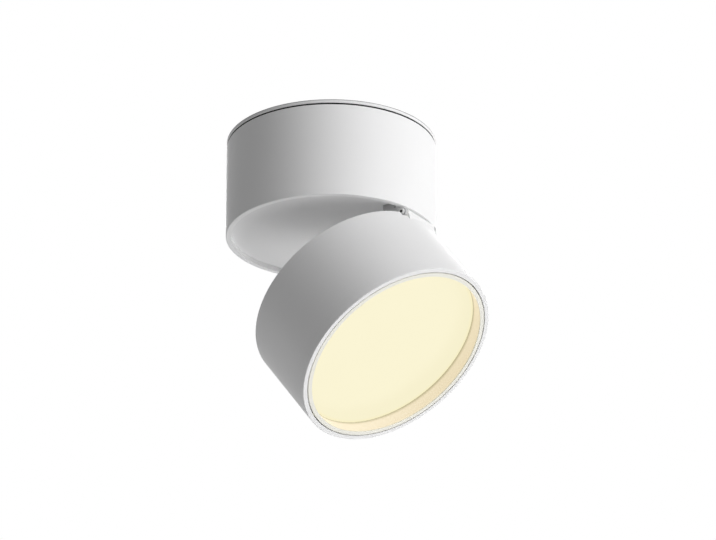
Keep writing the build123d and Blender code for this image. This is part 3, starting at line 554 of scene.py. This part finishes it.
def ringMesh(name, rings, material, inner=None, innerRows=0):
    # rings is (copies, rings, around, 3): quads join each ring to the next, and a point closes both ends
    copies, count, around, _ = rings.shape
    ends = rings[:, [0, -1]].mean(axis=2)
    points = np.concatenate([rings.reshape(copies, -1, 3), ends], axis=1)
    row, col = np.meshgrid(np.arange(count - 1), np.arange(around), indexing="ij")
    nextCol = (col + 1) % around
    quads = np.stack([row * around + col, row * around + nextCol,
                      (row + 1) * around + nextCol, (row + 1) * around + col], axis=-1).reshape(-1, 4)
    seam = np.arange(around)
    nextSeam = (seam + 1) % around
    last = (count - 1) * around
    first = np.full(around, count * around)
    caps = np.concatenate([np.stack([first, nextSeam, seam], axis=-1),
                           np.stack([first + 1, last + seam, last + nextSeam], axis=-1)])
    step = points.shape[1]
    shifts = (np.arange(copies) * step)[:, None, None]
    loops = np.concatenate([(quads + shifts).ravel(), (caps + shifts).ravel()])
    sizes = np.concatenate([np.full(copies * len(quads), 4), np.full(copies * len(caps), 3)])
    mesh = bpy.data.meshes.new(name)
    mesh.vertices.add(copies * step)
    mesh.vertices.foreach_set("co", points.astype(np.float32).ravel())
    mesh.loops.add(len(loops))
    mesh.loops.foreach_set("vertex_index", loops.astype(np.int32))
    mesh.polygons.add(len(sizes))
    mesh.polygons.foreach_set("loop_start", np.concatenate([[0], np.cumsum(sizes)[:-1]]).astype(np.int32))
    mesh.polygons.foreach_set("use_smooth", np.ones(len(sizes), dtype=bool))
    mesh.update(calc_edges=True)
    mesh.set_sharp_from_angle(angle=sharpAngle)
    mesh.materials.append(material)
    if inner:
        # the last rows of rings and the cap over them take the inner finish
        mesh.materials.append(inner)
        rowOf = np.repeat(np.arange(count - 1), around)
        kind = np.concatenate([np.tile(rowOf >= count - 1 - innerRows, copies),
                               np.tile(np.arange(2 * around) >= around, copies)])
        mesh.polygons.foreach_set("material_index", kind.astype(np.int32))
    piece = bpy.data.objects.new(name, mesh)
    bpy.context.collection.objects.link(piece)
    return piece


# what all screws share: lengths in millimetres, threadDepth a share of the pitch, tip, crown, mouth and cone
# shares of the radius of shank, head and socket, crown's second number a share of the head's height, and
# mouthSix and coneSix how far the mouth and the cone are six sided
screwForm = {"around": 48, "stepsPerTurn": 8, "threadDepth": 0.54, "threadStart": 0.35,
             "tip": (0.55, 0.8), "tipHeight": 0.12, "neck": 0.02, "shoulder": 0.01,
             "underEdge": (0.12, 0.03), "edgeHeight": (0.03, 0.12),
             "crown": ((1.0, 0.5), (0.985, 0.66), (0.95, 0.8), (0.88, 0.92), (0.78, 0.985), (0.68, 1.0)),
             "mouth": (1.16, 1.05), "mouthDrop": (0.04, 0.12), "mouthSix": 0.5,
             "cone": 0.55, "coneDepth": 0.05, "coneSix": 0.3, "socketRows": 3}


def hexShape(angles):
    # radius of a hexagon of corner radius 1 at each angle
    sixth = math.pi / 3
    return math.cos(sixth / 2) / np.cos((angles + sixth / 2) % sixth - sixth / 2)


def screwRings(size):
    # one screw on its own axis, seat of the head at height 0. The radius is a function of angle and height:
    # a ridge that climbs one pitch in a turn on the shank, round on the head and six sided in the socket
    form = screwForm
    shank, pitch, length = size["shank"], size["pitch"], size["length"]
    head, tall, socket = size["head"], size["tall"], size["socket"]
    threadTop, floor = -size["plain"], tall - size["deep"]
    # columns: radius, height, share of the thread's ridge, share of the six sided shape
    base = np.array([[shank * form["tip"][0], -length, 0, 0],
                     [shank * form["tip"][1], form["tipHeight"] - length, 0, 0]])
    heights = np.arange(form["threadStart"] - length, threadTop, pitch / form["stepsPerTurn"])
    one, none = np.ones_like(heights), np.zeros_like(heights)
    thread = np.stack([one * shank, heights, one, none], 1)
    crown = [[head * radius, tall * height, 0, 0] for radius, height in form["crown"]]
    top = np.array([
        [shank, threadTop + form["shoulder"], 0, 0],
        [shank, -form["neck"], 0, 0],
        [shank + form["neck"], 0, 0, 0],
        [head - form["underEdge"][0], 0, 0, 0],
        [head - form["underEdge"][1], form["edgeHeight"][0], 0, 0],
        [head, form["edgeHeight"][1], 0, 0],
        *crown,
        [socket * form["mouth"][0], tall, 0, form["mouthSix"]],
        [socket * form["mouth"][1], tall - form["mouthDrop"][0], 0, 1],
        [socket, tall - form["mouthDrop"][1], 0, 1],
        [socket, floor, 0, 1],
        [socket * form["cone"], floor - form["coneDepth"], 0, form["coneSix"]],
    ])
    radius, height, ridge, six = np.concatenate([base, thread, top]).T
    angles = np.arange(form["around"]) * 2 * math.pi / form["around"]
    turn = (height[:, None] / pitch - angles[None, :] / (2 * math.pi)) % 1.0
    depth = form["threadDepth"] * pitch * np.abs(2 * turn - 1)
    fade = np.clip((threadTop - height) / pitch, 0, 1) * ridge
    radii = radius[:, None] - depth * fade[:, None]
    radii = radii * (1 - six[:, None] + six[:, None] * hexShape(angles)[None, :])
    heights = np.repeat(height[:, None], form["around"], 1)
    return np.stack([radii * np.cos(angles), radii * np.sin(angles), heights], -1)


def placeRings(rings, places, right, up, out):
    # copies of the rings, with their own axes laid along right, up and out and their origin at each place
    turned = rings @ (np.array([right, up, out]) * mm)
    return np.array(places)[:, None, None, :] + turned[None]


capScrew = {"shank": 1.45, "pitch": 0.5, "head": 2.75, "tall": 1.8, "socket": 1.25, "deep": 1.0}
upright = (np.array([1.0, 0, 0]), np.array([0, 1.0, 0]), np.array([0, 0, 1.0]))
headUpright = (headRight, headUp, headOut)
headDown = (headRight, -headUp, -headOut)

# a set stands on a circle or at the crossings of xs and ys, at its level, in its body's own millimetres;
# plain is the length under the head that has no thread
screwSets = {
    "sinkScrews": {"node": "sink_screws", "body": "head", "axes": headUpright, "length": 12.1, "plain": 3.6,
                   "circle": 30.0, "count": 4, "start": 45, "level": 0},
    "ledBoardScrews": {"node": "board_screws", "body": "head", "axes": headDown, "length": 4.3, "plain": 1.6,
                       "circle": 26.5, "count": 3, "start": 60, "level": -17.0},
    "turntableScrews": {"node": "turntable_screws", "body": "drum", "axes": upright, "length": 8.0,
                        "plain": 1.5, "circle": 43.5, "count": 4, "start": 0, "level": -7.45},
    "bracketScrews": {"node": "bracket_screws", "body": "drum", "axes": upright, "length": 4.2, "plain": 1.5,
                      "xs": (32.0, 41.0), "ys": (-7.8, 7.8), "level": -39.5},
    "driverScrews": {"node": "driver_screws", "body": "drum", "axes": upright, "length": 5.2, "plain": 3.0,
                     "xs": (-35.25, 23.25), "ys": (-8.0,), "level": -38.5},
    "blockScrews": {"node": "block_screws", "body": "drum", "axes": upright, "length": 15.2, "plain": 13.0,
                    "xs": (-11.5, -0.5), "ys": (25.0,), "level": -28.5},
    "earthScrew": {"node": "earth_screw", "body": "drum", "axes": upright, "length": 2.2, "plain": 0.4,
                   "xs": (14.0,), "ys": (14.0,), "level": -41.5, "slot": "brass", "finish": "brass"},
}


def screwPlaces(screws):
    point = headPoint if screws["body"] == "head" else drumPoint
    if "circle" in screws:
        angles = np.radians(screws["start"] + 360 / screws["count"] * np.arange(screws["count"]))
        spots = [(screws["circle"] * math.cos(a), screws["circle"] * math.sin(a)) for a in angles]
    else:
        spots = [(x, y) for x in screws["xs"] for y in screws["ys"]]
    return [point(x, y, screws["level"]) for x, y in spots]


def makeCapScrews(name, screws):
    rings = placeRings(screwRings({**capScrew, **screws}), screwPlaces(screws), *screws["axes"])
    finish = finishes[screws.get("finish", "screwSteel")]
    # the socket rows take the near black painted shade
    piece = ringMesh(name, rings, finish, finishes["paintedSocketShade"], screwForm["socketRows"])
    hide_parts(screws["node"])
    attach(piece, screws["body"])


pivotScrew = {"shank": 1.25, "pitch": 0.45, "head": 1.65, "tall": 0.9, "socket": 0.72, "deep": 0.6,
              "length": 7.7, "plain": 2.0, "seat": 12.9}


def makePivotScrews():
    # one screw at each end of the hinge line, heads outwards
    rings = screwRings(pivotScrew)
    centre = np.array(headPoint(headFrame["hinge"][0], 0, headFrame["pinLevel"]))
    sides = []
    for way in (1.0, -1.0):
        place = centre + np.array([0, way * pivotScrew["seat"] * mm, 0])
        sides.append(placeRings(rings, [place], headRight, -way * headOut, np.array([0, way, 0])))
    # the socket rows take the near black painted shade
    piece = ringMesh("pivotScrews", np.concatenate(sides), finishes["pivotSteel"], finishes["paintedSocketShade"],
                     screwForm["socketRows"])
    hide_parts("hinge_screws")
    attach(piece, "head")


for name, screws in screwSets.items():
    makeCapScrews(name, screws)
makePivotScrews()
print("screws made")

# lead from the driver to the head, a round sheath on one smooth line that these control points shape
lead = {"radius": 1.7 * mm, "around": 24, "order": 3, "steps": 12, "shortest": 0.001 * mm}
leadPoints = [
    drumPoint(18.4, -8, -33), drumPoint(29.75, -8, -33), drumPoint(36, 0, -35.5), drumPoint(36, 0, -46.5),
    headPoint(36, 0, 2.8), headPoint(36, 0, -1.4), headPoint(36, 0, -19.5), headPoint(30.3, 0, -19.5),
]


def splinePoints(points):
    # the smooth line of a spline whose control points are the route's
    curve = bpy.data.curves.new("route", "CURVE")
    curve.dimensions = "3D"
    spline = curve.splines.new("NURBS")
    spline.points.add(len(points) - 1)
    spline.points.foreach_set("co", np.column_stack([points, np.ones(len(points))]).ravel())
    spline.order_u = lead["order"]
    spline.use_endpoint_u = True
    spline.resolution_u = lead["steps"]
    carrier = bpy.data.objects.new("route", curve)
    line = bpy.data.meshes.new_from_object(carrier)
    found = np.empty(len(line.vertices) * 3)
    line.vertices.foreach_get("co", found)
    bpy.data.objects.remove(carrier)
    bpy.data.meshes.remove(line)
    bpy.data.curves.remove(curve)
    return found.reshape(-1, 3)


def makeLead():
    # a circle carried along the line, square to it: each ring stands on the line's own direction
    line = splinePoints(leadPoints)
    gaps = np.linalg.norm(np.diff(line, axis=0), axis=1)
    line = line[np.concatenate([[True], gaps > lead["shortest"]])]
    way = np.gradient(line, axis=0)
    way /= np.linalg.norm(way, axis=1, keepdims=True)
    side = np.cross(way, headUp)
    side /= np.linalg.norm(side, axis=1, keepdims=True)
    over = np.cross(way, side)
    angles = np.arange(lead["around"]) * 2 * math.pi / lead["around"]
    circle = np.cos(angles)[None, :, None] * side[:, None] + np.sin(angles)[None, :, None] * over[:, None]
    piece = ringMesh("headLead", (line[:, None] + lead["radius"] * circle)[None], finishes["sheath"])
    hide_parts("head_lead")
    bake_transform(piece)


makeLead()
print("lead made")


# room, light and camera

room = {"floorLevel": -2.6, "floorSize": 14.0, "floorTone": 0.78, "cloudStep": 0.03, "cloudScale": 1.5,
        "roughness": 0.8, "whiteShare": 0.92, "ambient": 0.1}


def grey(tone):
    return (tone, tone, tone)


def directSight(tree):
    # 1 for what the camera sees straight on, in a reflection or through glass
    path = addNode(tree, "ShaderNodeLightPath")
    either = addNode(tree, "ShaderNodeMath", operation="MAXIMUM")
    every = addNode(tree, "ShaderNodeMath", operation="MAXIMUM")
    tree.links.new(path.outputs["Is Camera Ray"], either.inputs[0])
    tree.links.new(path.outputs["Is Glossy Ray"], either.inputs[1])
    tree.links.new(either.outputs[0], every.inputs[0])
    tree.links.new(path.outputs["Is Transmission Ray"], every.inputs[1])
    return every.outputs[0]


def makeFloor():
    # pale floor far below; most of what the camera sees of it is plain white, the rest keeps the shadow
    half = room["floorSize"] / 2
    mesh = bpy.data.meshes.new("floor")
    corners = [(-half, -half), (half, -half), (half, half), (-half, half)]
    mesh.from_pydata([(x, y, room["floorLevel"]) for x, y in corners], [], [(0, 1, 2, 3)])
    floor = bpy.data.objects.new("floor", mesh)
    bpy.context.collection.objects.link(floor)
    material = startMaterial("paleFloor", {"Roughness": room["roughness"]})
    tree, shader, where = partsOf(material)
    cloud = addNode(tree, "ShaderNodeTexNoise", Scale=room["cloudScale"])
    tree.links.new(where, cloud.inputs["Vector"])
    tones = grey(room["floorTone"]), grey(room["floorTone"] + room["cloudStep"])
    tree.links.new(blendColours(tree, cloud.outputs["Fac"], *tones), shader.inputs["Base Color"])
    white = addNode(tree, "ShaderNodeEmission", Strength=1.0)
    share = addNode(tree, "ShaderNodeMath", operation="MULTIPLY")
    share.inputs[1].default_value = room["whiteShare"]
    mix = addNode(tree, "ShaderNodeMixShader")
    tree.links.new(directSight(tree), share.inputs[0])
    tree.links.new(share.outputs[0], mix.inputs[0])
    tree.links.new(shader.outputs[0], mix.inputs[1])
    tree.links.new(white.outputs[0], mix.inputs[2])
    tree.links.new(mix.outputs[0], tree.nodes["Material Output"].inputs["Surface"])
    mesh.materials.append(material)


def makeWorld():
    # the camera sees white, and the light that reaches the object is a plain grey
    world = bpy.data.worlds.new("studio")
    bpy.context.scene.world = world
    world.use_nodes = True
    tree = world.node_tree
    back = tree.nodes["Background"]
    back.inputs["Strength"].default_value = 1.0
    colour = blendColours(tree, directSight(tree), grey(room["ambient"]), grey(1))
    tree.links.new(colour, back.inputs["Color"])


# focal length and picture width are in pixels, the sensor in millimetres
view = {"place": (1.09199, -1.61324, -0.91939), "turn": (113.6717, 0.0569, 33.7463),
        "focalPixels": 4500, "widthPixels": 716, "sensor": 36, "near": 0.05, "far": 60}

# square lamps, all at one distance from the object's middle: angle in degrees from the camera to the right,
# rise above the level, power in watts
lampRig = {"middle": (0.0, 0.0, -0.065), "distance": 1.8, "size": 0.9}
lamps = {
    "keyRight": {"angle": 60, "rise": -20, "power": 10.6},
    "highRight": {"angle": 60, "rise": 35, "power": 10.8},
    "highFront": {"angle": 30, "rise": 35, "power": 9.8},
    "highBack": {"angle": 180, "rise": 35, "power": 20.4},
    "lowFront": {"angle": 30, "rise": -50, "power": 6.3},
    "sideRight": {"angle": 120, "rise": -20, "power": 8.6},
    "lowBack": {"angle": 150, "rise": -50, "power": 8.3},
    "sideLeft": {"angle": -110, "rise": -6, "power": 5.2},
}


def addLamp(name, setting):
    # camera side is -Y turned by the camera's azimuth, and a positive angle goes to its right
    angle = math.radians(view["turn"][2] + setting["angle"])
    rise = math.radians(setting["rise"])
    way = np.array([math.sin(angle) * math.cos(rise), -math.cos(angle) * math.cos(rise), math.sin(rise)])
    data = bpy.data.lights.new(name, "AREA")
    data.size = lampRig["size"]
    data.energy = setting["power"]
    lamp = bpy.data.objects.new(name, data)
    bpy.context.collection.objects.link(lamp)
    lamp.location = np.array(lampRig["middle"]) + way * lampRig["distance"]
    lamp.rotation_euler = Vector([-float(v) for v in way]).to_track_quat("-Z", "Y").to_euler()
    lamp.visible_camera = False


def addCamera():
    data = bpy.data.cameras.new("camera")
    data.sensor_width = view["sensor"]
    data.lens = view["focalPixels"] / view["widthPixels"] * view["sensor"]
    data.clip_start, data.clip_end = view["near"], view["far"]
    camera = bpy.data.objects.new("camera", data)
    bpy.context.collection.objects.link(camera)
    camera.location = view["place"]
    camera.rotation_euler = [math.radians(a) for a in view["turn"]]
    bpy.context.scene.camera = camera


makeFloor()
makeWorld()
for name, setting in lamps.items():
    addLamp(name, setting)
addCamera()
bpy.context.scene.view_settings.view_transform = "Standard"
print("room, lamps and camera placed")
